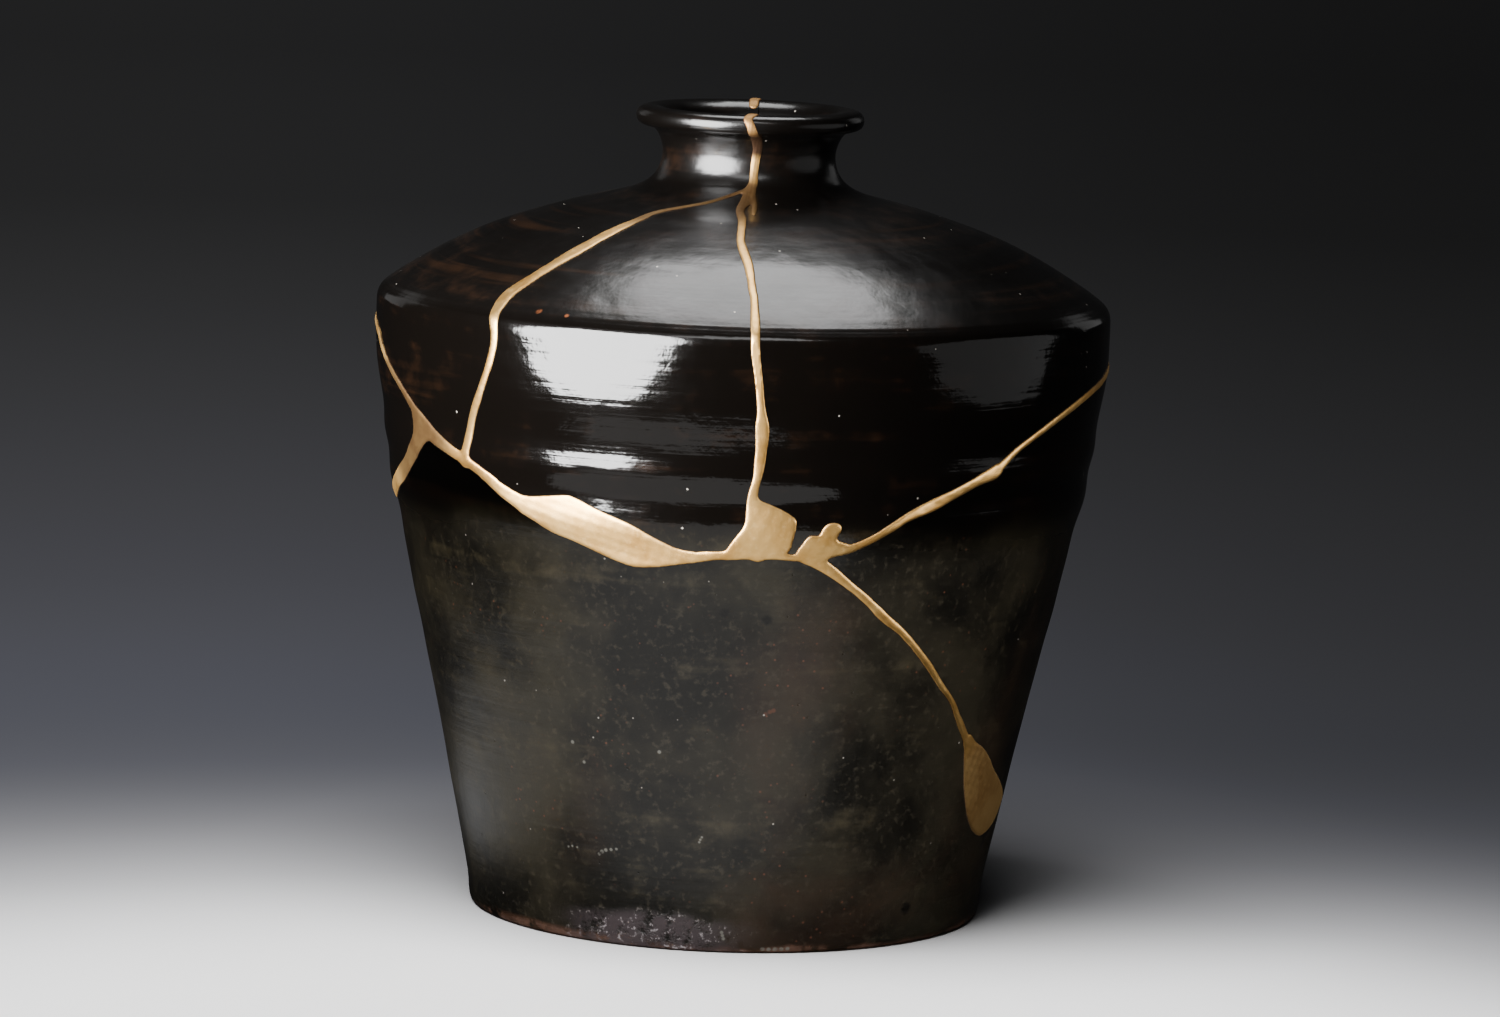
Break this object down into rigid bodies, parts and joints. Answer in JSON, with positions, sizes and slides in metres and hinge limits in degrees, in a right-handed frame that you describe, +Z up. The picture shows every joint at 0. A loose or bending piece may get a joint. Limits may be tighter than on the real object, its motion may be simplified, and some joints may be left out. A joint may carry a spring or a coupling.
{
  "type": "kintsugi jar",
  "caption": "Dark glazed stoneware jar with a narrow rolled lip and broad shoulder, broken and rejoined with gold lacquer seams and patches; hollow, for storage or display.",
  "frame": {"origin": "centre of the circle under the foot, on the surface the jar stands on", "axes": "+Z up along the jar's axis, -Y towards the front with the meeting seams, +X to the viewer's right"},
  "size_m": [0.2553, 0.2555, 0.2806],
  "materials": {
    "glaze": "near-black brown iron glaze, glossy on neck and shoulder, satin below",
    "gold_lacquer": "satin gold powder on lacquer, worn to brown in places"
  },
  "bodies": {
    "root": {"body_sherd": "glaze", "front_sherd": "glaze", "left_shoulder_sherd": "glaze", "right_shoulder_sherd": "glaze", "left_side_sherd": "glaze", "gold_lacquer": "gold_lacquer"}
  },
  "joints": []
}
